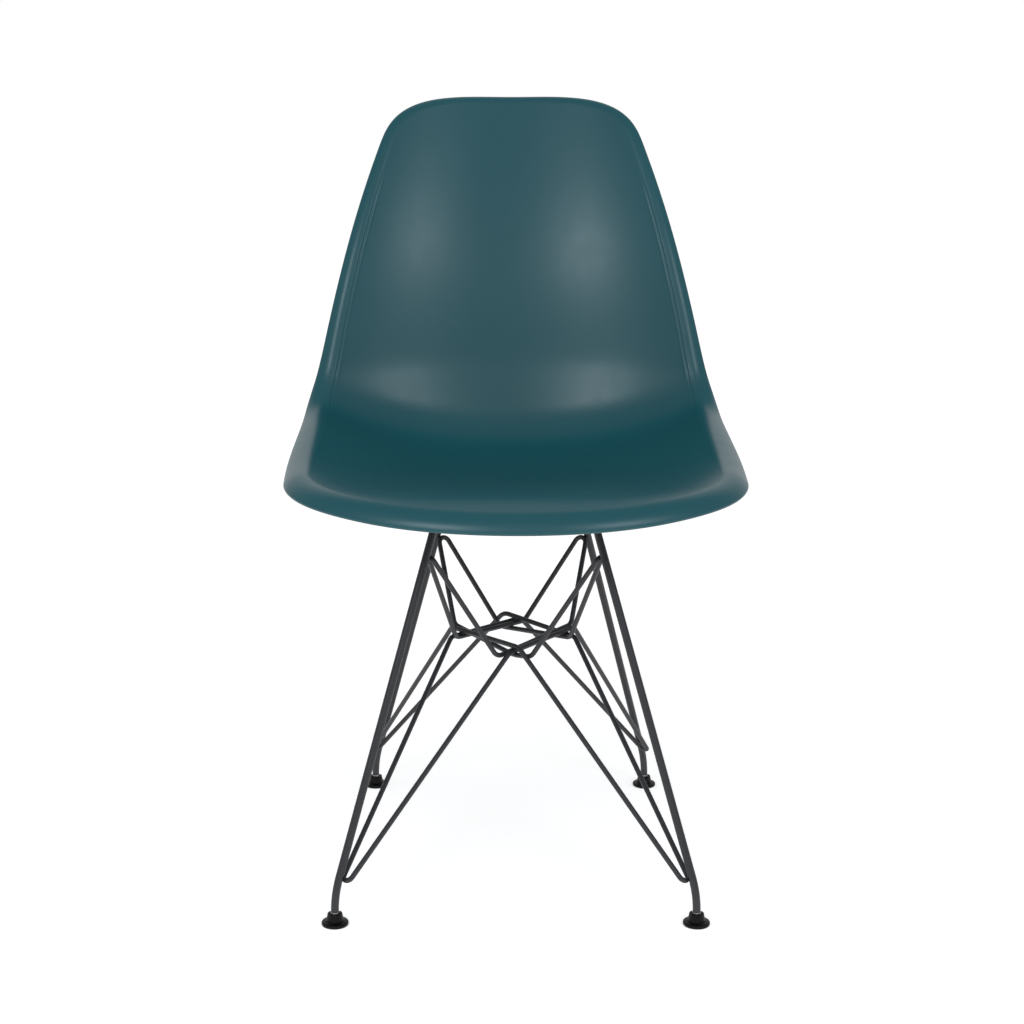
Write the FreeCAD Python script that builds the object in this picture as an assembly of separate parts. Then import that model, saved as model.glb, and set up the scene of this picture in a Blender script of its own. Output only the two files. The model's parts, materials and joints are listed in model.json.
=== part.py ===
import FreeCAD, Part
import math
import os

# A moulded plastic shell chair on a base of bent steel rod and welded wire.
# Millimetres. +Z is up, the sitter faces -Y, X = 0 is the plane of symmetry and the floor is Z = 0.
# Left and right are as seen from in front of the chair: left is -X.

Vector = FreeCAD.Vector

# Seat shell: the centre line of the sitting surface, from the front edge to the top of the back.
# Each station has depth behind the front of the seat, height above the shock mounts, half width
# where the lip starts, how far the sides stand up from the centre line, how late across the width
# they rise, and the rolled lip's radius and its turn in degrees.
seat_front_y = -262.7
shell_stations = (
    (16.2, 18.5, 206.2, -5.0, 0.5, 24.0, 62.0),
    (45.0, 22.1, 206.3, 2.0, 0.5, 24.5, 63.0),
    (100.0, 17.9, 204.6, 14.0, 0.5, 25.0, 66.0),
    (170.0, 11.4, 204.6, 25.0, 0.5, 25.5, 68.0),
    (250.0, 6.6, 202.3, 38.0, 0.4, 25.5, 70.0),
    (325.0, 7.0, 200.4, 47.0, 0.3, 25.0, 70.0),
    (389.0, 20.5, 201.8, 50.0, 0.2, 22.0, 72.0),
    (429.0, 62.9, 199.4, 48.0, 0.1, 18.5, 75.0),
    (445.3, 120.9, 190.9, 45.0, 0.1, 16.0, 75.0),
    (465.5, 220.9, 169.4, 41.0, 0.1, 14.0, 72.0),
    (492.0, 315.9, 142.6, 33.0, 0.1, 12.5, 68.0),
    (517.0, 394.1, 116.9, 24.0, 0.1, 11.0, 62.0),
)
shell_wall = 4.5
front_corner_length = 115.5
front_corner_power = 2.04
top_corner_length = 63.0
top_corner_power = 3.2

# Patches of the shell: a middle patch with a ring of four round it, then the lip and its rim.
middle_share = 0.5
middle_front_share = 0.14
middle_top_share = 0.86
across_count = 8
along_count = 14
ring_count = 4
lip_count = 3
rim_count = 4

# Steel rod and wire of the base.
rod_diameter = 8.0
wire_diameter = 5.3
weld_gap = 0.1
reference_height = 390.0
front_leg_x = 79.4
front_leg_y = -98.1
front_leg_spread = 0.2805
front_leg_rake = -0.3204
rear_leg_x = 69.1
rear_leg_y = 48.5
rear_leg_spread = 0.2573
rear_leg_rake = 0.3912
top_bar_height = 394.0
top_bend_radius = 18.0
foot_bend_height = 31.5
foot_bend_radius = 87.0

# Wire ring between the legs. Each corner of a loop has its offset to the side and its depth. A loop
# starts at one front leg, its far corner is on the other side and its near corner on its own side.
ring_height = 240.0
ring_y = 4.3
lower_ring_front = (4.8, -65.1)
lower_ring_far = (66.2, 11.2)
lower_ring_rear = (9.5, 65.4)
lower_ring_near = (66.7, -1.3)
upper_ring_front = (17.8, -69.6)
upper_ring_cross = (0.0, -51.7)
upper_ring_far = (63.4, 16.3)
upper_ring_rear = (13.4, 57.4)
upper_ring_near = (61.5, -4.2)
side_bend_radius = 10.0
turn_bend_radius = 15.0
dip_bend_radius = 12.0
crossing_bend_radius = 60.0

# Levels that let the wires pass over and under one another.
crossing_slack = 0.7
rear_crossing_slack = 1.25
near_drop = 0.2
lower_far_rise = 1.4
upper_far_rise = 3.0
upper_rear_drop = 0.7

# Welds of the wires' hairpins: height on the leg, direction from the leg to the middle of the bend,
# outward and to the rear, and the bend's radius.
lower_front_weld = (44.5, -0.93, 0.37, 5.7)
lower_rear_weld = (52.1, 0.35, -0.94, 5.0)
upper_front_weld = (348.0, -0.6, 0.8, 5.0)
upper_rear_weld = (331.0, -0.85, -0.53, 7.5)

# Glides: black nylon bells snapped over collared steel balls on the rod ends.
ball_diameter = 11.0
ball_height = 6.7
ball_clearance = 0.05
collar_diameter = 9.2
collar_top_height = 13.8
rod_end_height = 4.8
glide_diameter = 27.0
glide_edge_height = 3.8
glide_edge_round = 1.5
glide_neck_diameter = 17.4
glide_neck_height = 4.9
glide_neck_round = 1.8
glide_top_diameter = 14.6
glide_height = 12.5
glide_rim_round = 0.8
glide_mouth_rise = 2.2
glide_mouth_diameter = 11.4

# Seat mounting stack.
mount_front_y = -74.3
mount_rear_y = 25.7
cup_offset = 12.5
cup_diameter = 40.0
cup_thickness = 3.0
cup_turned_edge = 1.0
pad_diameter = 34.0
pad_height = 8.0
pad_waist = 1.5
pad_waist_round = 8.0
boss_diameter = 34.0
boss_draft = 1.0
insert_diameter = 9.0
insert_length = 6.5
insert_flange_diameter = 11.0
insert_flange_height = 1.0
screw_diameter = 6.0
screw_length = 15.0
screw_head_diameter = 12.0
screw_head_height = 3.4
screw_head_round = 2.4
screw_tip_chamfer = 1.0
screw_recess_width = 4.0
screw_recess_depth = 2.0
screw_hole_clearance = 0.25
thread_clearance = 0.05

rod_radius = rod_diameter / 2
wire_radius = wire_diameter / 2
crossing_step = wire_diameter + crossing_slack
rear_crossing_step = wire_diameter + rear_crossing_slack
weld_reach = rod_radius + wire_radius + weld_gap
shock_mount_height = top_bar_height + rod_radius + weld_gap + cup_thickness + pad_height
outline_steps = 60
bisections = 40
fitting_rounds = 6
SIDES = (("left", -1), ("right", 1))
ENDS = ("front", "rear")


def natural_spline(knots, values):
    """Return a function for the natural cubic spline through the values and its slope."""
    last = len(knots) - 1
    spans = [knots[i + 1] - knots[i] for i in range(last)]
    slopes = [(values[i + 1] - values[i]) / spans[i] for i in range(last)]
    upper = [0.0] * (last + 1)
    bends = [0.0] * (last + 1)
    for i in range(1, last):
        pivot = 2 * (spans[i - 1] + spans[i]) - spans[i - 1] * upper[i - 1]
        upper[i] = spans[i] / pivot
        bends[i] = (6 * (slopes[i] - slopes[i - 1]) - spans[i - 1] * bends[i - 1]) / pivot
    for i in range(last - 1, 0, -1):
        bends[i] -= upper[i] * bends[i + 1]

    def evaluate(t):
        i = 0
        while i < last - 1 and t > knots[i + 1]:
            i += 1
        h = spans[i]
        a = (knots[i + 1] - t) / h
        b = (t - knots[i]) / h
        value = a * values[i] + b * values[i + 1]
        value += ((a ** 3 - a) * bends[i] + (b ** 3 - b) * bends[i + 1]) * h * h / 6
        slope = slopes[i] + ((3 * b * b - 1) * bends[i + 1] - (3 * a * a - 1) * bends[i]) * h / 6
        return value, slope

    return evaluate


class ShellForm:
    """The sitting surface and its outline, in distance along the centre line and offset from it."""

    def __init__(self):
        knots = [0.0]
        for before, after in zip(shell_stations, shell_stations[1:]):
            knots.append(knots[-1] + math.dist(before[:2], after[:2]))
        self.length = knots[-1]
        splines = [natural_spline(knots, column) for column in zip(*shell_stations)]
        self.depth, self.height, self.half, self.lift, self.lateness = splines[:5]
        self.lip_radius, self.lip_turn = splines[5:]

    def point(self, along, across):
        y, y_slope = self.depth(along)
        z, z_slope = self.height(along)
        size = math.hypot(y_slope, z_slope)
        share = (across / self.half(along)[0]) ** 2
        late = self.lateness(along)[0]
        rise = self.lift(along)[0] * share * (1 - late + late * share)
        return Vector(across, seat_front_y + y - rise * z_slope / size,
                      shock_mount_height + z + rise * y_slope / size)

    def normal(self, along, across, step=0.5):
        along_tangent = self.point(along + step, across) - self.point(along - step, across)
        across_tangent = self.point(along, across + step) - self.point(along, across - step)
        return across_tangent.cross(along_tangent).normalize()

    def along_at(self, across, y):
        """Return the distance along the shell at which a lengthwise line reaches a depth."""
        low, high = 0.0, self.length
        for _ in range(bisections):
            middle = (low + high) / 2
            if self.point(middle, across).y < y:
                low = middle
            else:
                high = middle
        return low

    def corner(self, length, power, turn):
        """Return distance from the end and share of the half width on a rounded corner."""
        away = length * (1 - math.sin(turn) ** (2 / power))
        return away, math.cos(turn) ** (2 / power)

    def right_outline(self):
        """Return the front, side and top stretches of the right half of the outline."""
        steps = outline_steps
        turns = [math.pi / 2 * i / (2 * steps) for i in range(2 * steps + 1)]
        front = []
        for turn in reversed(turns):
            away, share = self.corner(front_corner_length, front_corner_power, turn)
            front.append((away, share * self.half(away)[0]))
        top = []
        for turn in turns:
            away, share = self.corner(top_corner_length, top_corner_power, turn)
            top.append((self.length - away, share * self.half(self.length - away)[0]))
        side = []
        side_length = self.length - front_corner_length - top_corner_length
        for i in range(1, 2 * steps):
            along = front_corner_length + side_length * i / (2 * steps)
            side.append((along, self.half(along)[0]))
        return front[:steps + 1], front[steps:] + side + top[:steps + 1], top[steps:]

    def spaced(self, stretch, count):
        """Return count + 1 points evenly spaced along a stretch of the outline."""
        places = [self.point(*node) for node in stretch]
        travelled = [0.0]
        for before, after in zip(places, places[1:]):
            travelled.append(travelled[-1] + before.distanceToPoint(after))
        nodes = []
        i = 0
        for k in range(count + 1):
            target = travelled[-1] * k / count
            while i < len(travelled) - 2 and travelled[i + 1] < target:
                i += 1
            part = (target - travelled[i]) / (travelled[i + 1] - travelled[i])
            nodes.append(tuple(a + (b - a) * part for a, b in zip(stretch[i], stretch[i + 1])))
        return nodes


def mirrored(nodes):
    return [(along, -across) for along, across in nodes]


def patch(rows):
    """Return the smooth face through a grid of points; faces with the same edge points share the edge."""
    def curve(points):
        spline = Part.BSplineCurve()
        spline.interpolate(Points=list(points), Parameters=[float(i) for i in range(len(points))])
        return spline

    row_curves = [curve(row) for row in rows]
    column_curves = [curve(column) for column in zip(*(c.getPoles() for c in row_curves))]
    poles = [list(row) for row in zip(*(c.getPoles() for c in column_curves))]
    surface = Part.BSplineSurface()
    surface.buildFromPolesMultsKnots(
        poles, column_curves[0].getMultiplicities(), row_curves[0].getMultiplicities(),
        column_curves[0].getKnots(), row_curves[0].getKnots(), False, False, 3, 3)
    return surface.toShape()


def lip_frame(form, nodes, i):
    """Return the place, outward direction and normal where the lip starts at an outline node."""
    along, across = nodes[i]
    place = form.point(along, across)
    before = form.point(*nodes[i - 1])
    after = form.point(*nodes[(i + 1) % len(nodes)])
    normal = form.normal(along, across)
    outward = (after - before).cross(normal).normalize()
    return place, outward, normal


def make_shell(form):
    front, side, top = form.right_outline()
    half_across = across_count // 2
    front_half = form.spaced(front, half_across)
    side_nodes = form.spaced(side, along_count)
    top_half = form.spaced(top, half_across)
    front_nodes = mirrored(front_half)[:0:-1] + front_half
    top_nodes = top_half + mirrored(top_half)[-2::-1]
    left_nodes = mirrored(side_nodes)[::-1]
    outline = front_nodes[:-1] + side_nodes[:-1] + top_nodes[:-1] + left_nodes[:-1]

    def middle_edge(start, end, count):
        nodes = []
        for i in range(count + 1):
            along, share = (a + (b - a) * i / count for a, b in zip(start, end))
            nodes.append((along, share * form.half(along)[0]))
        return nodes

    low = form.length * middle_front_share
    high = form.length * middle_top_share
    corners = ((low, -middle_share), (low, middle_share), (high, middle_share), (high, -middle_share))
    counts = (across_count, along_count, across_count, along_count)
    middle_edges = [middle_edge(corners[k], corners[(k + 1) % 4], counts[k]) for k in range(4)]
    outer_edges = (front_nodes, side_nodes, top_nodes, left_nodes)

    frames = [lip_frame(form, outline, i) for i in range(len(outline))]
    sizes = [(form.lip_radius(node[0])[0], math.radians(form.lip_turn(node[0])[0])) for node in outline]

    def surface_point(node, drop):
        return form.point(*node) - form.normal(*node) * drop

    def lip_point(i, share, drop):
        place, outward, normal = frames[i]
        radius, turn = sizes[i]
        angle = turn * share
        centre = place - normal * radius
        return centre + (outward * math.sin(angle) + normal * math.cos(angle)) * (radius - drop)

    def rim_point(i, share):
        place, outward, normal = frames[i]
        turn = sizes[i][1]
        angle = math.pi * share
        across = outward * math.sin(turn) + normal * math.cos(turn)
        ahead = outward * math.cos(turn) - normal * math.sin(turn)
        middle = lip_point(i, 1.0, shell_wall / 2)
        return middle + (across * math.cos(angle) + ahead * math.sin(angle)) * (shell_wall / 2)

    faces = []
    for drop in (0.0, shell_wall):
        rows = []
        for left, right in zip(middle_edges[3][::-1], middle_edges[1]):
            nodes = []
            for j in range(across_count + 1):
                nodes.append(tuple(a + (b - a) * j / across_count for a, b in zip(left, right)))
            rows.append([surface_point(node, drop) for node in nodes])
        faces.append(patch(rows))
        for inner, outer in zip(middle_edges, outer_edges):
            rows = []
            for j in range(ring_count + 1):
                share = j / ring_count
                nodes = [tuple(a + (b - a) * share for a, b in zip(*pair)) for pair in zip(inner, outer)]
                rows.append([surface_point(node, drop) for node in nodes])
            faces.append(patch(rows))
    start = 0
    for count in counts:
        chosen = [(start + k) % len(outline) for k in range(count + 1)]
        for drop in (0.0, shell_wall):
            faces.append(patch([[lip_point(i, j / lip_count, drop) for i in chosen]
                                for j in range(lip_count + 1)]))
        faces.append(patch([[rim_point(i, j / rim_count) for i in chosen]
                            for j in range(rim_count + 1)]))
        start += count
    skin = Part.Shell(faces)
    skin.sewShape()
    solid = Part.Solid(skin)
    if solid.Volume < 0:
        solid.reverse()
    return solid


def leg_point(end, side, height):
    """Return the point of a leg's axis at a height."""
    drop = reference_height - height
    if end == "front":
        x = front_leg_x + front_leg_spread * drop
        y = front_leg_y + front_leg_rake * drop
    else:
        x = rear_leg_x + rear_leg_spread * drop
        y = rear_leg_y + rear_leg_rake * drop
    return Vector(side * x, y, height)


def rounded_path(points, radii, closed):
    """Return straight runs joined by tangent arcs, where a radius of 0 keeps a corner sharp."""
    corners = []
    for i, (point, radius) in enumerate(zip(points, radii)):
        if not radius:
            corners.append((point, point, point))
            continue
        back = (points[i - 1] - point).normalize()
        ahead = (points[(i + 1) % len(points)] - point).normalize()
        half = back.getAngle(ahead) / 2
        reach = radius / math.tan(half)
        inward = (back + ahead).normalize()
        middle = point + inward * (radius / math.sin(half) - radius)
        corners.append((point + back * reach, middle, point + ahead * reach))
    edges = []
    for i in range(0 if closed else 1, len(points)):
        edges.append(Part.makeLine(corners[i - 1][2], corners[i][0]))
        if radii[i]:
            edges.append(Part.Arc(*corners[i]).toShape())
    return Part.Wire(edges)


def round_bar(path, radius):
    """Return the solid that a round section sweeps along a path."""
    first = path.OrderedEdges[0]
    start = first.valueAt(first.FirstParameter)
    direction = first.tangentAt(first.FirstParameter)
    if path.isClosed():
        tube = path.makePipe(Part.Wire([Part.makeCircle(radius, start, direction)]))
        skin = Part.Shell(tube.Faces)
        skin.sewShape()
        bar = Part.Solid(skin)
    else:
        bar = path.makePipe(Part.Face(Part.Wire([Part.makeCircle(radius, start, direction)])))
    expected = math.pi * radius ** 2 * path.Length
    print("bar volume over section times length:", round(abs(bar.Volume) / expected, 6))
    return bar


def make_side_frame(side):
    corners = [leg_point("front", side, foot_bend_height), leg_point("front", side, top_bar_height),
               leg_point("rear", side, top_bar_height), leg_point("rear", side, foot_bend_height)]
    feet = [Vector(corner.x, corner.y, rod_end_height) for corner in (corners[0], corners[-1])]
    radii = [0, foot_bend_radius, top_bend_radius, top_bend_radius, foot_bend_radius, 0]
    return round_bar(rounded_path([feet[0]] + corners + [feet[1]], radii, False), rod_radius)


def hairpin(end, side, weld, before, after):
    """Return the corner of a wire's hairpin, moved out until it just meets the leg it is welded to."""
    height, outward, rearward, radius = weld
    direction = Vector(side * outward, rearward, 0).normalize()
    leg = Part.makeLine(leg_point(end, side, foot_bend_height), leg_point(end, side, top_bar_height))
    reach = weld_reach
    for _ in range(fitting_rounds):
        centre = leg_point(end, side, height) + direction * reach
        to_before = (before - centre).normalize()
        to_after = (after - centre).normalize()
        half = to_before.getAngle(to_after) / 2
        corner = centre - (to_before + to_after).normalize() * (radius / math.sin(half))
        bend = rounded_path([before, corner, after], [0, radius, 0], False)
        reach += weld_reach - bend.distToShape(leg)[0]
    return corner


def ring_point(side, place, level):
    return Vector(side * place[0], ring_y + place[1], ring_height + level)


def make_lower_wire(side, over):
    """Return the path from the front leg on one side to the rear leg on the other and back."""
    front = ring_point(side, lower_ring_front, crossing_step / 2 * over)
    far = ring_point(-side, lower_ring_far, crossing_step / 2 + lower_far_rise)
    rear = ring_point(-side, lower_ring_rear, rear_crossing_step / 2 * (over + 1))
    near = ring_point(side, lower_ring_near, -crossing_step / 2 - near_drop)
    low_front = hairpin("front", side, lower_front_weld, near, front)
    low_rear = hairpin("rear", -side, lower_rear_weld, far, rear)
    points = [low_front, front, far, low_rear, rear, near]
    radii = [lower_front_weld[3], turn_bend_radius, side_bend_radius,
             lower_rear_weld[3], turn_bend_radius, side_bend_radius]
    return rounded_path(points, radii, True)


def make_upper_wire(side, over):
    """Return the path from the front leg on one side to the rear leg on the other, within the lower wires."""
    front = ring_point(side, upper_ring_front, -crossing_step)
    cross = ring_point(side, upper_ring_cross, crossing_step / 2 * (over - 2))
    far = ring_point(-side, upper_ring_far, crossing_step / 2 + upper_far_rise)
    rear = ring_point(-side, upper_ring_rear, rear_crossing_step / 2 * (over - 1) - upper_rear_drop)
    near = ring_point(side, upper_ring_near, -crossing_step / 2 - near_drop)
    high_front = hairpin("front", side, upper_front_weld, near, front)
    high_rear = hairpin("rear", -side, upper_rear_weld, far, rear)
    points = [high_front, front, cross, far, high_rear, rear, near]
    radii = [upper_front_weld[3], dip_bend_radius, crossing_bend_radius, side_bend_radius,
             upper_rear_weld[3], side_bend_radius, side_bend_radius]
    return rounded_path(points, radii, True)


def revolved(corners, centre):
    """Return the solid of revolution, about a vertical axis, of corners of radius, height and rounding."""
    points = [Vector(radius, 0, height) for radius, height, _ in corners]
    outline = rounded_path(points, [corner[2] for corner in corners], True)
    solid = Part.Face(outline).revolve(Vector(0, 0, 0), Vector(0, 0, 1), 360)
    solid.translate(centre)
    return solid


def make_ball(foot):
    """Return a ball with a thin collar round the rod, bored for the rod's end."""
    ball = Part.makeSphere(ball_diameter / 2, Vector(foot.x, foot.y, ball_height))
    collar = Part.makeCylinder(collar_diameter / 2, collar_top_height - ball_height,
                               Vector(foot.x, foot.y, ball_height))
    bore = Part.makeCylinder(rod_radius + weld_gap / 2, collar_top_height,
                             Vector(foot.x, foot.y, rod_end_height - weld_gap))
    return ball.fuse(collar).cut(bore)


def make_glide(foot):
    """Return a bell with a socket that closes over the widest part of the ball."""
    flange = glide_diameter / 2
    neck = glide_neck_diameter / 2
    top = glide_top_diameter / 2
    bell = revolved([(0, 0, 0), (flange, 0, glide_edge_round), (flange, glide_edge_height, glide_edge_round),
                     (neck, glide_neck_height, glide_neck_round), (top, glide_height, glide_rim_round),
                     (0, glide_height, 0)], Vector(foot.x, foot.y, 0))
    socket_radius = ball_diameter / 2 + ball_clearance
    socket = Part.makeSphere(socket_radius, Vector(foot.x, foot.y, ball_height))
    mouth_height = ball_height + glide_mouth_rise
    mouth_radius = math.sqrt(socket_radius ** 2 - glide_mouth_rise ** 2)
    mouth = Part.makeCone(mouth_radius, glide_mouth_diameter / 2, glide_height - mouth_height,
                          Vector(foot.x, foot.y, mouth_height))
    return bell.cut(socket).cut(mouth)


def mount_axis(end, side):
    """Return the centre of a mounting point, beside the top bar, at the height of the cup's underside."""
    front = leg_point("front", side, top_bar_height)
    rear = leg_point("rear", side, top_bar_height)
    y = mount_front_y if end == "front" else mount_rear_y
    share = (y - front.y) / (rear.y - front.y)
    x = front.x + (rear.x - front.x) * share - side * cup_offset
    return Vector(x, y, top_bar_height + rod_radius + weld_gap)


def make_cup(centre):
    outer = cup_diameter / 2
    hole = screw_diameter / 2 + screw_hole_clearance
    return revolved([(hole, 0, 0), (outer, 0, cup_turned_edge), (outer, cup_thickness, 0),
                     (hole, cup_thickness, 0)], centre)


def make_pad(centre):
    outer = pad_diameter / 2
    hole = screw_diameter / 2 + screw_hole_clearance
    return revolved([(hole, 0, 0), (outer, 0, 0), (outer - pad_waist, pad_height / 2, pad_waist_round),
                     (outer, pad_height, 0), (hole, pad_height, 0)], centre + Vector(0, 0, cup_thickness))


def make_screw(centre):
    """Return a button head screw whose head lies under the cup, with a hexagonal socket."""
    head = screw_head_diameter / 2
    shank = screw_diameter / 2
    screw = revolved([(0, -screw_head_height, 0), (head, -screw_head_height, screw_head_round),
                      (head, 0, 0), (shank, 0, 0), (shank, screw_length - screw_tip_chamfer, 0),
                      (shank - screw_tip_chamfer, screw_length, 0), (0, screw_length, 0)], centre)
    corner_radius = screw_recess_width / math.sqrt(3)
    corners = [Vector(math.cos(i * math.pi / 3), math.sin(i * math.pi / 3), 0) * corner_radius
               for i in range(7)]
    socket = Part.Face(Part.makePolygon(corners)).extrude(Vector(0, 0, screw_recess_depth))
    socket.translate(centre - Vector(0, 0, screw_head_height))
    return screw.cut(socket)


def insert_corners(clearance):
    outer = insert_diameter / 2 + clearance
    flange = insert_flange_diameter / 2 + clearance
    shoulder = insert_flange_height + clearance
    return [(flange, 0, 0), (flange, shoulder, 0), (outer, shoulder, 0),
            (outer, insert_length + clearance, 0)]


def make_insert(centre):
    bore = screw_diameter / 2 + thread_clearance
    return revolved([(bore, 0, 0)] + insert_corners(0.0) + [(bore, insert_length, 0)], centre)


def add_bosses(form, shell, centres):
    """Fuse a boss with a blind hole for its insert on the underside at each mounting point."""
    clearance = weld_gap / 2
    for centre in centres:
        base = centre + Vector(0, 0, cup_thickness + pad_height)
        along = form.along_at(base.x, base.y)
        normal = form.normal(along, base.x)
        mid_wall = form.point(along, base.x) - normal * (shell_wall / 2)
        boss = Part.makeCone(boss_diameter / 2, boss_diameter / 2 + boss_draft, boss_diameter, base)
        above = Part.makeCylinder(boss_diameter * 2, boss_diameter * 2, mid_wall, normal)
        hole = [(0, 0, 0)] + insert_corners(clearance) + [(0, insert_length + clearance, 0)]
        shell = shell.fuse(boss.cut(above)).cut(revolved(hole, base))
    return shell


def main():
    os.makedirs("parts", exist_ok=True)
    form = ShellForm()
    pieces = {}
    corners = [(end, name, side) for end in ENDS for name, side in SIDES]
    mounts = {(end, name): mount_axis(end, side) for end, name, side in corners}
    pieces["seat_shell"] = add_bosses(form, make_shell(form), mounts.values())
    for end, name, side in corners:
        centre = mounts[end, name]
        foot = leg_point(end, side, foot_bend_height)
        place = end + "_" + name
        pieces["mount_cup_" + place] = make_cup(centre)
        pieces["shock_mount_" + place] = make_pad(centre)
        pieces["mount_screw_" + place] = make_screw(centre)
        pieces["threaded_insert_" + place] = make_insert(centre + Vector(0, 0, cup_thickness + pad_height))
        pieces["glide_ball_" + place] = make_ball(foot)
        pieces["glide_" + place] = make_glide(foot)
    for name, side in SIDES:
        pieces["side_frame_" + name] = make_side_frame(side)
        pieces["lower_wire_" + name] = round_bar(make_lower_wire(side, side), wire_radius)
        pieces["upper_wire_" + name] = round_bar(make_upper_wire(side, -side), wire_radius)
    for name, piece in pieces.items():
        if len(piece.Solids) != 1 or not piece.isValid():
            print("not one valid solid:", name)
        piece.Solids[0].exportStep("parts/" + name + ".step")


main()
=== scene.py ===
import json
import math

import bmesh
import bpy
import numpy as np
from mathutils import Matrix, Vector


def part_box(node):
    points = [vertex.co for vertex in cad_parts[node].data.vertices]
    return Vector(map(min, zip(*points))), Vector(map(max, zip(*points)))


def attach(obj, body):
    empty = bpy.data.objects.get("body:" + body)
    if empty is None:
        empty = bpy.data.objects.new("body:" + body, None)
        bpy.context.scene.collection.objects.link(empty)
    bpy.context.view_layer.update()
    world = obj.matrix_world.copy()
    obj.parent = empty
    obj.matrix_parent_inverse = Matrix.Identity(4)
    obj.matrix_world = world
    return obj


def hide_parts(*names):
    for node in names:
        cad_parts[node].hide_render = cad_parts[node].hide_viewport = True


# A moulded plastic shell chair on a base of bent steel rod and welded wire, in metres.
# The frame's pieces stay where they are and get their materials. The shell is made again from its
# own form, in millimetres, as a finer mesh that takes the solid's place.

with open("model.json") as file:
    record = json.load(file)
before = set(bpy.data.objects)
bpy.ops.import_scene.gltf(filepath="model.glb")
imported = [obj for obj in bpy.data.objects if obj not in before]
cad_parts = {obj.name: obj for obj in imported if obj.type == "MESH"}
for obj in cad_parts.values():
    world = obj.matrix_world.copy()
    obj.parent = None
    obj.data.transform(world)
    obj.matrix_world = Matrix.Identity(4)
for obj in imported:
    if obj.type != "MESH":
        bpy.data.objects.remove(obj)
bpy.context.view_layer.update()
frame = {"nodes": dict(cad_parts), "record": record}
BODY = "chair"
MM = 0.001
CORNERS = ("front_left", "front_right", "rear_left", "rear_right")

# The shell's stations, as in the part's source: depth, height above the shock mounts, half width,
# lift of the sides, lateness, and the lip's radius and turn in degrees.
SEAT_FRONT_Y = -262.7
SHELL_STATIONS = (
    (16.2, 18.5, 206.2, -5.0, 0.5, 24.0, 62.0),
    (45.0, 22.1, 206.3, 2.0, 0.5, 24.5, 63.0),
    (100.0, 17.9, 204.6, 14.0, 0.5, 25.0, 66.0),
    (170.0, 11.4, 204.6, 25.0, 0.5, 25.5, 68.0),
    (250.0, 6.6, 202.3, 38.0, 0.4, 25.5, 70.0),
    (325.0, 7.0, 200.4, 47.0, 0.3, 25.0, 70.0),
    (389.0, 20.5, 201.8, 50.0, 0.2, 22.0, 72.0),
    (429.0, 62.9, 199.4, 48.0, 0.1, 18.5, 75.0),
    (445.3, 120.9, 190.9, 45.0, 0.1, 16.0, 75.0),
    (465.5, 220.9, 169.4, 41.0, 0.1, 14.0, 72.0),
    (492.0, 315.9, 142.6, 33.0, 0.1, 12.5, 68.0),
    (517.0, 394.1, 116.9, 24.0, 0.1, 11.0, 62.0),
)

# The crown and hollows of the seat and back along the middle, which their reflections show: distance
# along the centre line, and how far the skin lies away from the sitter. They fade out to the outline.
FORM_TRIM = (
    (0.0, 0.0),
    (50.0, -4.5),
    (100.0, -6.0),
    (200.0, -2.5),
    (300.0, 0.0),
    (360.0, 2.0),
    (405.0, 5.5),
    (440.0, -0.5),
    (475.0, -1.0),
    (510.0, -1.5),
    (560.0, -2.5),
    (650.0, -2.0),
    (780.0, 0.0),
)
SHOCK_MOUNT_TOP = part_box("shock_mount_front_left")[1].z / MM
SHELL_WALL = 4.5
FRONT_CORNER_LENGTH = 115.5
FRONT_CORNER_POWER = 2.04
TOP_CORNER_LENGTH = 63.0
TOP_CORNER_POWER = 3.2

# The shell's mesh: a middle patch, four patches round it, the lip and the rim. The middle reaches
# over shares of the length and of the half width, and the spans grow finer towards the outline.
MIDDLE_SHARE = 0.5
MIDDLE_FRONT_SHARE = 0.14
MIDDLE_TOP_SHARE = 0.86
ACROSS_SPANS = 72
ALONG_SPANS = 160
RING_SPANS = 44
RING_CROWDING = 2.0
LIP_SPANS = 20
LIP_CROWDING = 1.6
RIM_SPANS = 10
OUTLINE_STEPS = 600
TANGENT_STEP = 0.5
WELD_DISTANCE = 1e-6
SHARP_ANGLE = math.radians(35)

# The fine crease where the back's sides turn into the lip: a shallow groove between two low ridges,
# which lie two widths from it. It fades in and out over two stretches of height.
CREASE_DEPTH = 0.4
CREASE_RIDGE = 0.28
CREASE_WIDTH = 1.1
RIDGE_OFFSET = 2.0
CREASE_START = (455.0, 500.0)
CREASE_END = (660.0, 740.0)

# Bosses under the shell, each with a hole for its threaded insert.
BOSS_RADIUS = 17.0
BOSS_DRAFT = 0.5
HOLE_RADIUS = 5.55
HOLE_DEPTH = 6.5
BOSS_SEGMENTS = 64

# Camera, as the photograph was taken.
CAMERA_PLACE = (-0.0336, -1.9735, 0.787)
CAMERA_TILT = math.radians(11.78)
IMAGE_SIZE = 1024
FOCAL_PIXELS = 1890.7
IMAGE_SHIFT_PIXELS = 30.0
SENSOR_WIDTH = 36.0

# Light: a soft box on either side of the camera, which the back reflects twice, in a pale room.
# Each soft box has its name, its bearing and elevation in degrees, its width and its power in watts.
LIT_PLACE = (0.0, 0.19, 0.56)
LIGHT_DISTANCE = 2.6
LIGHT_COLOR = (0.86, 0.93, 1.0)
SOFT_BOXES = (
    ("left_soft_box", -21.0, 23.5, 0.5, 9.6),
    ("right_soft_box", 29.0, 23.5, 0.5, 7.2),
)

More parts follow.
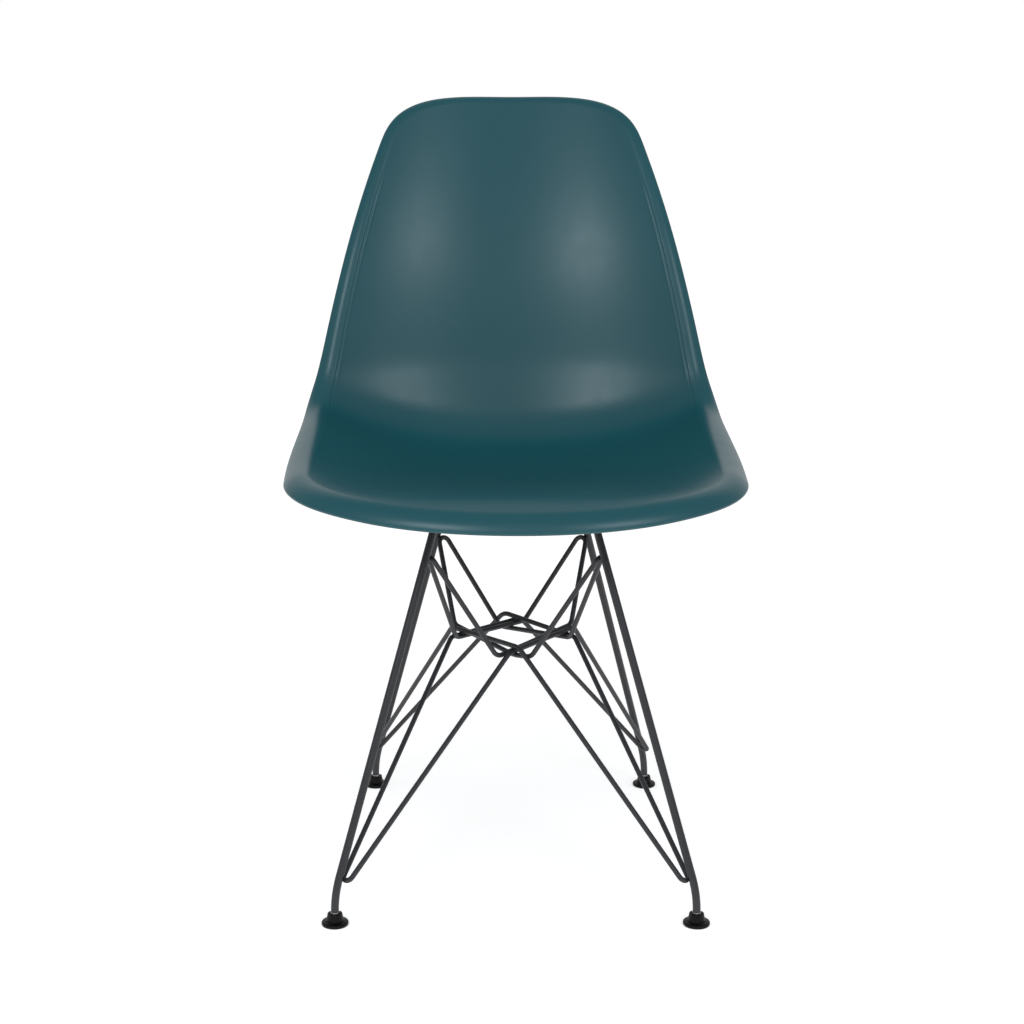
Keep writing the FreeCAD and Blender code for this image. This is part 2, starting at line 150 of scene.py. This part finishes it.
# The room's own light comes mostly from the front. What gloss shows is dim in front, dimmer overhead
# and pale behind, and changes over stretches of the direction's upward and backward parts.
FRONT_AMBIENT = 1.3
REAR_AMBIENT = 0.1
FRONT_ROOM = 0.35
CEILING = 0.23
BACKDROP = 0.8
CEILING_START = 0.4
CEILING_END = 0.8
BACKDROP_START = 0.2
BACKDROP_END = 0.8
FLOOR_SIZE = 24.0
FLOOR_PALE = 0.8
FLOOR_GLOW = 0.5


def natural_spline(knots, values):
    """Return a function for the natural cubic spline through the values and its slope."""
    knots = np.asarray(knots)
    values = np.asarray(values)
    spans = np.diff(knots)
    slopes = np.diff(values) / spans
    size = len(knots)
    system = np.eye(size)
    change = np.zeros(size)
    for i in range(1, size - 1):
        system[i, i - 1:i + 2] = spans[i - 1], 2 * (spans[i - 1] + spans[i]), spans[i]
        change[i] = 6 * (slopes[i] - slopes[i - 1])
    bends = np.linalg.solve(system, change)

    def evaluate(t):
        i = np.clip(np.searchsorted(knots, t) - 1, 0, size - 2)
        h = spans[i]
        a = (knots[i + 1] - t) / h
        b = (t - knots[i]) / h
        value = a * values[i] + b * values[i + 1]
        value += ((a ** 3 - a) * bends[i] + (b ** 3 - b) * bends[i + 1]) * h * h / 6
        slope = slopes[i] + ((3 * b * b - 1) * bends[i + 1] - (3 * a * a - 1) * bends[i]) * h / 6
        return value, slope

    return evaluate


def unit(vectors):
    return vectors / np.linalg.norm(vectors, axis=-1, keepdims=True)


class ShellForm:
    """The sitting surface and its outline, in distance along the centre line and offset from it."""

    def __init__(self):
        knots = [0.0]
        for before, after in zip(SHELL_STATIONS, SHELL_STATIONS[1:]):
            knots.append(knots[-1] + math.dist(before[:2], after[:2]))
        self.length = knots[-1]
        splines = [natural_spline(knots, column) for column in zip(*SHELL_STATIONS)]
        self.depth, self.height, self.half, self.lift, self.lateness = splines[:5]
        self.lip_radius, self.lip_turn = splines[5:]
        self.trim = natural_spline(*zip(*FORM_TRIM))

    def point(self, along, across):
        y, y_slope = self.depth(along)
        z, z_slope = self.height(along)
        size = np.hypot(y_slope, z_slope)
        share = (across / self.half(along)[0]) ** 2
        late = self.lateness(along)[0]
        rise = self.lift(along)[0] * share * (1 - late + late * share)
        rise -= self.trim(along)[0] * (1 - share)
        return np.stack([across, SEAT_FRONT_Y + y - rise * z_slope / size,
                         SHOCK_MOUNT_TOP + z + rise * y_slope / size], -1)

    def normal(self, along, across):
        step = TANGENT_STEP
        along_tangent = self.point(along + step, across) - self.point(along - step, across)
        across_tangent = self.point(along, across + step) - self.point(along, across - step)
        return unit(np.cross(across_tangent, along_tangent))

    def right_outline(self):
        """Return the front, side and top stretches of the right half of the outline."""
        turn = np.linspace(0, math.pi / 2, 2 * OUTLINE_STEPS + 1)
        near = FRONT_CORNER_LENGTH * (1 - np.sin(turn[::-1]) ** (2 / FRONT_CORNER_POWER))
        near_share = np.abs(np.cos(turn[::-1])) ** (2 / FRONT_CORNER_POWER)
        far = self.length - TOP_CORNER_LENGTH * (1 - np.sin(turn) ** (2 / TOP_CORNER_POWER))
        far_share = np.abs(np.cos(turn)) ** (2 / TOP_CORNER_POWER)
        straight = np.linspace(near[-1], far[0], 2 * OUTLINE_STEPS + 1)[1:-1]
        front = np.stack([near, near_share * self.half(near)[0]], -1)
        side = np.stack([straight, self.half(straight)[0]], -1)
        top = np.stack([far, far_share * self.half(far)[0]], -1)
        cut = OUTLINE_STEPS
        return front[:cut + 1], np.concatenate([front[cut:], side, top[:cut + 1]]), top[cut:]

    def spaced(self, stretch, count):
        """Return count + 1 nodes evenly spaced along a stretch of the outline."""
        places = self.point(stretch[:, 0], stretch[:, 1])
        travelled = np.concatenate([[0], np.cumsum(np.linalg.norm(np.diff(places, axis=0), axis=1))])
        targets = np.linspace(0, travelled[-1], count + 1)
        return np.stack([np.interp(targets, travelled, stretch[:, k]) for k in range(2)], -1)


def mirrored(nodes):
    return nodes * np.array([1, -1])


def smooth_step(value, start, end):
    share = np.clip((value - start) / (end - start), 0, 1)
    return share * share * (3 - 2 * share)


def crease(distance, height):
    """Return how far the skin stands out, at a distance across the crease and a height."""
    fade = smooth_step(height, *CREASE_START) * (1 - smooth_step(height, *CREASE_END))
    across = distance / CREASE_WIDTH
    ridges = np.exp(-(across - RIDGE_OFFSET) ** 2) + np.exp(-(across + RIDGE_OFFSET) ** 2)
    return (CREASE_RIDGE * ridges - CREASE_DEPTH * np.exp(-across ** 2)) * fade


def between(start, end, count, crowding=1.0):
    """Return rows of nodes from one line of nodes to another, closer together towards its end."""
    share = (1 - np.linspace(1, 0, count + 1) ** crowding)[:, None, None]
    return start[None] * (1 - share) + end[None] * share


def outer_edges(form):
    """Return the outline's front, right, top and left edges, as nodes that follow one another."""
    front, side, top = form.right_outline()
    front_half = form.spaced(front, ACROSS_SPANS // 2)
    right_nodes = form.spaced(side, ALONG_SPANS)
    top_half = form.spaced(top, ACROSS_SPANS // 2)
    front_nodes = np.concatenate([mirrored(front_half)[:0:-1], front_half])
    top_nodes = np.concatenate([top_half, mirrored(top_half)[-2::-1]])
    return front_nodes, right_nodes, top_nodes, mirrored(right_nodes)[::-1]


def middle_edges(form):
    """Return the middle patch's four edges, in the order of the outline's."""
    low = form.length * MIDDLE_FRONT_SHARE
    high = form.length * MIDDLE_TOP_SHARE
    share = MIDDLE_SHARE
    corners = np.array([(low, -share), (low, share), (high, share), (high, -share)])
    counts = (ACROSS_SPANS, ALONG_SPANS, ACROSS_SPANS, ALONG_SPANS)
    edges = []
    for start, end, count in zip(corners, np.roll(corners, -1, 0), counts):
        nodes = between(start[None], end[None], count)[:, 0]
        nodes[:, 1] *= form.half(nodes[:, 0])[0]
        edges.append(nodes)
    return edges


def surface_grids(form, inner_edges, edges):
    """Return the patches of the skin and of the underside, up to the outline."""
    def surface(nodes, drop):
        along = nodes[..., 0]
        across = nodes[..., 1]
        skin = form.point(along, across)
        if not drop:
            from_outline = np.abs(across) - form.half(along)[0]
            drop = -crease(from_outline, skin[..., 2])[..., None]
        return skin - form.normal(along, across) * drop

    grids = []
    for drop in (0.0, SHELL_WALL):
        grids.append(surface(between(inner_edges[3][::-1], inner_edges[1], ACROSS_SPANS), drop))
        for inner, outer in zip(inner_edges, edges):
            grids.append(surface(between(inner, outer, RING_SPANS, RING_CROWDING), drop))
    return grids


def lip_grids(form, edges):
    """Return the two sides of the rolled lip, and the rim that joins them."""
    outline = np.concatenate([edge[:-1] for edge in edges])
    along = outline[:, 0]
    place = form.point(along, outline[:, 1])
    normal = form.normal(along, outline[:, 1])
    outward = unit(np.cross(np.roll(place, -1, 0) - np.roll(place, 1, 0), normal))
    radius = form.lip_radius(along)[0][:, None]
    turn = np.radians(form.lip_turn(along)[0])[:, None]

    def facing(angle):
        return outward * np.sin(angle) + normal * np.cos(angle)

    def lip(share, drop):
        angle = turn * share
        if not drop:
            drop = -crease(radius * angle, place[:, 2:])
        return place - normal * radius + facing(angle) * (radius - drop)

    def rim(share):
        angle = math.pi * share
        ahead = facing(turn + math.pi / 2)
        half_turn = facing(turn) * math.cos(angle) + ahead * math.sin(angle)
        return lip(1.0, SHELL_WALL / 2) + half_turn * (SHELL_WALL / 2)

    closed = np.append(np.arange(len(outline)), 0)
    lip_shares = np.linspace(0, 1, LIP_SPANS + 1) ** LIP_CROWDING
    rim_shares = np.linspace(0, 1, RIM_SPANS + 1)
    skin = np.array([lip(share, 0.0)[closed] for share in lip_shares])
    underside = np.array([lip(share, SHELL_WALL)[closed] for share in lip_shares])
    return [skin, underside, np.array([rim(share)[closed] for share in rim_shares])]


def boss_grid(form, centre):
    """Return the points of a boss round a vertical axis, from inside the wall down to its hole."""
    along = np.linspace(0, form.length, OUTLINE_STEPS)
    places = form.point(along, np.full_like(along, centre[0]))
    wall_height = np.interp(centre[1], places[:, 1], places[:, 2]) - SHELL_WALL / 2
    profile = ((BOSS_RADIUS + BOSS_DRAFT, wall_height - centre[2]), (BOSS_RADIUS, 0.0),
               (HOLE_RADIUS, 0.0), (HOLE_RADIUS, HOLE_DEPTH), (0.0, HOLE_DEPTH))
    turn = np.linspace(0, 2 * math.pi, BOSS_SEGMENTS + 1)
    rows = [np.stack([radius * np.cos(turn), radius * np.sin(turn), np.full_like(turn, rise)], -1)
            for radius, rise in profile]
    return np.array(rows) + centre


def mesh_from_grids(name, grids):
    """Return an object whose smooth mesh joins grids of points given in millimetres."""
    vertices = []
    faces = []
    for grid in grids:
        rows, columns = grid.shape[:2]
        index = len(vertices) + np.arange(rows * columns).reshape(rows, columns)
        vertices.extend(map(tuple, grid.reshape(-1, 3) * MM))
        quads = np.stack([index[:-1, :-1], index[:-1, 1:], index[1:, 1:], index[1:, :-1]], -1)
        faces.extend(map(tuple, quads.reshape(-1, 4)))
    mesh = bpy.data.meshes.new(name)
    mesh.from_pydata(vertices, [], faces)
    shape = bmesh.new()
    shape.from_mesh(mesh)
    bmesh.ops.remove_doubles(shape, verts=shape.verts, dist=WELD_DISTANCE)
    bmesh.ops.recalc_face_normals(shape, faces=shape.faces)
    shape.to_mesh(mesh)
    shape.free()
    mesh.shade_smooth()
    piece = bpy.data.objects.new(name, mesh)
    bpy.context.scene.collection.objects.link(piece)
    return piece


def new_material(name):
    material = bpy.data.materials.new(name)
    material.use_nodes = True
    tree = material.node_tree
    shader = tree.nodes["Principled BSDF"]
    return material, tree, shader


def noise(tree, scale, detail=2.0, roughness=0.5):
    coordinates = tree.nodes.new("ShaderNodeTexCoord")
    texture = tree.nodes.new("ShaderNodeTexNoise")
    texture.inputs["Scale"].default_value = scale
    texture.inputs["Detail"].default_value = detail
    texture.inputs["Roughness"].default_value = roughness
    tree.links.new(coordinates.outputs["Object"], texture.inputs["Vector"])
    return texture.outputs["Fac"]


def mapped(tree, value, low, high, start=0.0, end=1.0):
    node = tree.nodes.new("ShaderNodeMapRange")
    node.inputs["From Min"].default_value = start
    node.inputs["From Max"].default_value = end
    node.inputs["To Min"].default_value = low
    node.inputs["To Max"].default_value = high
    tree.links.new(value, node.inputs["Value"])
    return node.outputs["Result"]


def larger(tree, first, second):
    node = tree.nodes.new("ShaderNodeMath")
    node.operation = "MAXIMUM"
    tree.links.new(first, node.inputs[0])
    tree.links.new(second, node.inputs[1])
    return node.outputs["Value"]


def colored(tree, shader, factor, first, second):
    node = tree.nodes.new("ShaderNodeMix")
    node.data_type = "RGBA"
    node.inputs["A"].default_value = (*first, 1)
    node.inputs["B"].default_value = (*second, 1)
    tree.links.new(factor, node.inputs["Factor"])
    tree.links.new(node.outputs["Result"], shader.inputs["Base Color"])


def roughened(tree, shader, factor, middle, spread):
    changing = mapped(tree, factor, middle - spread, middle + spread)
    tree.links.new(changing, shader.inputs["Roughness"])


def bump(tree, shader, height, strength, distance):
    node = tree.nodes.new("ShaderNodeBump")
    node.inputs["Strength"].default_value = strength
    node.inputs["Distance"].default_value = distance
    tree.links.new(height, node.inputs["Height"])
    tree.links.new(node.outputs["Normal"], shader.inputs["Normal"])


def linear(red, green, blue):
    """Return the linear colour of a display colour given in steps of 255."""
    def channel(value):
        value /= 255
        return value / 12.92 if value <= 0.04045 else ((value + 0.055) / 1.055) ** 2.4
    return tuple(channel(value) for value in (red, green, blue))


def moulded_plastic(name, dark, light, roughness, grain_scale, grain_depth, specular=0.5):
    material, tree, shader = new_material(name)
    shader.inputs["Specular IOR Level"].default_value = specular
    colored(tree, shader, noise(tree, scale=9.0, detail=3.0), dark, light)
    roughened(tree, shader, noise(tree, scale=60.0), roughness, spread=0.03)
    grain = noise(tree, grain_scale, detail=3.0, roughness=0.6)
    bump(tree, shader, grain, strength=0.35, distance=grain_depth)
    return material


def powder_coat(name, dark, light):
    material, tree, shader = new_material(name)
    colored(tree, shader, noise(tree, scale=140.0, detail=3.0), dark, light)
    roughened(tree, shader, noise(tree, scale=400.0), middle=0.43, spread=0.07)
    shader.inputs["Metallic"].default_value = 0.25
    bump(tree, shader, noise(tree, scale=1800.0), strength=0.25, distance=0.00008)
    return material


def machined_metal(name, dark, light, roughness):
    material, tree, shader = new_material(name)
    colored(tree, shader, noise(tree, scale=300.0, detail=3.0), dark, light)
    roughened(tree, shader, noise(tree, scale=900.0), roughness, spread=0.06)
    shader.inputs["Metallic"].default_value = 1.0
    bump(tree, shader, noise(tree, scale=2500.0), strength=0.2, distance=0.00005)
    return material


MATERIALS = {
    "shell_plastic": moulded_plastic(
        "teal_plastic", linear(16, 73, 82), linear(20, 79, 88),
        roughness=0.33, grain_scale=2600.0, grain_depth=0.00005),
    "base_paint": powder_coat(
        "graphite_powder_coat", linear(46, 46, 49), linear(56, 56, 59)),
    "glide_nylon": moulded_plastic(
        "black_nylon", linear(4, 4, 5), linear(7, 7, 8),
        roughness=0.45, grain_scale=3000.0, grain_depth=0.00004, specular=0.2),
    "mount_rubber": moulded_plastic(
        "black_rubber", linear(18, 18, 18), linear(26, 26, 26),
        roughness=0.75, grain_scale=1500.0, grain_depth=0.0001, specular=0.3),
    "fastener_steel": machined_metal(
        "zinc_plated_steel", linear(185, 185, 188), linear(205, 205, 207), roughness=0.3),
    "brass_inserts": machined_metal(
        "turned_brass", linear(190, 150, 85), linear(210, 170, 100), roughness=0.32),
}


def paint(piece, slot):
    piece.data.materials.clear()
    piece.data.materials.append(MATERIALS[slot])


def dress_frame():
    for part in frame["record"]["subparts"]:
        piece = frame["nodes"][part["node"]]
        paint(piece, part["material_slot"])
        piece.data.shade_smooth()
        piece.data.set_sharp_from_angle(angle=SHARP_ANGLE)


def make_shell():
    form = ShellForm()
    edges = outer_edges(form)
    grids = surface_grids(form, middle_edges(form), edges) + lip_grids(form, edges)
    for corner in CORNERS:
        low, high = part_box("shock_mount_" + corner)
        centre = np.array([(low.x + high.x) / 2, (low.y + high.y) / 2, high.z]) / MM
        grids.append(boss_grid(form, centre))
    shell = mesh_from_grids("seat_shell_moulding", grids)
    shell.data.set_sharp_from_angle(angle=SHARP_ANGLE)
    paint(shell, "shell_plastic")
    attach(shell, BODY)
    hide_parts("seat_shell")


def make_camera():
    data = bpy.data.cameras.new("photo_camera")
    data.sensor_width = SENSOR_WIDTH
    data.lens = SENSOR_WIDTH * FOCAL_PIXELS / IMAGE_SIZE
    data.shift_x = IMAGE_SHIFT_PIXELS / IMAGE_SIZE
    camera = bpy.data.objects.new("photo_camera", data)
    camera.location = CAMERA_PLACE
    camera.rotation_euler = (math.radians(90) - CAMERA_TILT, 0, 0)
    bpy.context.scene.collection.objects.link(camera)
    bpy.context.scene.camera = camera


def make_soft_box(name, bearing, elevation, size, power):
    """Add a square soft box that faces the backrest from a bearing, 0 being in front."""
    bearing = math.radians(bearing)
    elevation = math.radians(elevation)
    data = bpy.data.lights.new(name, "AREA")
    data.shape = "SQUARE"
    data.size = size
    data.energy = power
    data.color = LIGHT_COLOR
    light = bpy.data.objects.new(name, data)
    away = Vector((math.sin(bearing) * math.cos(elevation), -math.cos(bearing) * math.cos(elevation),
                   math.sin(elevation)))
    light.location = Vector(LIT_PLACE) + away * LIGHT_DISTANCE
    light.rotation_euler = away.to_track_quat("Z", "Y").to_euler()
    bpy.context.scene.collection.objects.link(light)


def seen_by(tree, *kinds):
    """Return 1 for rays of the kinds named and 0 for all others."""
    path = tree.nodes.new("ShaderNodeLightPath")
    seen = path.outputs[kinds[0]]
    for kind in kinds[1:]:
        seen = larger(tree, seen, path.outputs[kind])
    return seen


def make_floor():
    """Add a pale floor that takes the chair's shadow and glows enough to look white."""
    mesh = bpy.data.meshes.new("studio_floor")
    half = FLOOR_SIZE / 2
    mesh.from_pydata([(-half, -half, 0), (half, -half, 0), (half, half, 0), (-half, half, 0)],
                     [], [(0, 1, 2, 3)])
    floor = bpy.data.objects.new("studio_floor", mesh)
    bpy.context.scene.collection.objects.link(floor)
    material, tree, shader = new_material("studio_floor")
    shader.inputs["Base Color"].default_value = (FLOOR_PALE, FLOOR_PALE, FLOOR_PALE, 1)
    shader.inputs["Roughness"].default_value = 1.0
    shader.inputs["Specular IOR Level"].default_value = 0.0
    glow = tree.nodes.new("ShaderNodeEmission")
    seen = seen_by(tree, "Is Camera Ray", "Is Glossy Ray", "Is Transmission Ray")
    tree.links.new(mapped(tree, seen, 0.0, FLOOR_GLOW), glow.inputs["Strength"])
    both = tree.nodes.new("ShaderNodeAddShader")
    tree.links.new(shader.outputs["BSDF"], both.inputs[0])
    tree.links.new(glow.outputs["Emission"], both.inputs[1])
    tree.links.new(both.outputs["Shader"], tree.nodes["Material Output"].inputs["Surface"])
    floor.data.materials.append(material)


def background(tree, brightness=None):
    """Return a white background shader, at full strength where no brightness is given."""
    shader = tree.nodes.new("ShaderNodeBackground")
    shader.inputs["Color"].default_value = (1, 1, 1, 1)
    shader.inputs["Strength"].default_value = 1.0
    if brightness is not None:
        tree.links.new(brightness, shader.inputs["Strength"])
    return shader.outputs["Background"]


def mixed_shader(tree, factor, first, second):
    mix = tree.nodes.new("ShaderNodeMixShader")
    tree.links.new(factor, mix.inputs["Fac"])
    tree.links.new(first, mix.inputs[1])
    tree.links.new(second, mix.inputs[2])
    return mix.outputs["Shader"]


def make_world():
    """Make a room that is white to the camera, lights mostly from the front and is dimmer to gloss."""
    world = bpy.data.worlds.new("studio")
    bpy.context.scene.world = world
    world.use_nodes = True
    tree = world.node_tree
    coordinates = tree.nodes.new("ShaderNodeTexCoord")
    direction = tree.nodes.new("ShaderNodeSeparateXYZ")
    tree.links.new(coordinates.outputs["Generated"], direction.inputs["Vector"])
    upward = direction.outputs["Z"]
    backward = direction.outputs["Y"]
    front = mapped(tree, upward, FRONT_ROOM, CEILING, CEILING_START, CEILING_END)
    backdrop = mapped(tree, backward, 0.0, BACKDROP, BACKDROP_START, BACKDROP_END)
    reflected = background(tree, larger(tree, front, backdrop))
    ambient = background(tree, mapped(tree, backward, FRONT_AMBIENT, REAR_AMBIENT, -1.0, 1.0))
    lit = mixed_shader(tree, seen_by(tree, "Is Glossy Ray"), ambient, reflected)
    seen = seen_by(tree, "Is Camera Ray", "Is Transmission Ray")
    whole = mixed_shader(tree, seen, lit, background(tree))
    tree.links.new(whole, tree.nodes["World Output"].inputs["Surface"])


bpy.context.scene.view_settings.view_transform = "Standard"
dress_frame()
make_shell()
make_camera()
make_world()
make_floor()
for soft_box in SOFT_BOXES:
    make_soft_box(*soft_box)
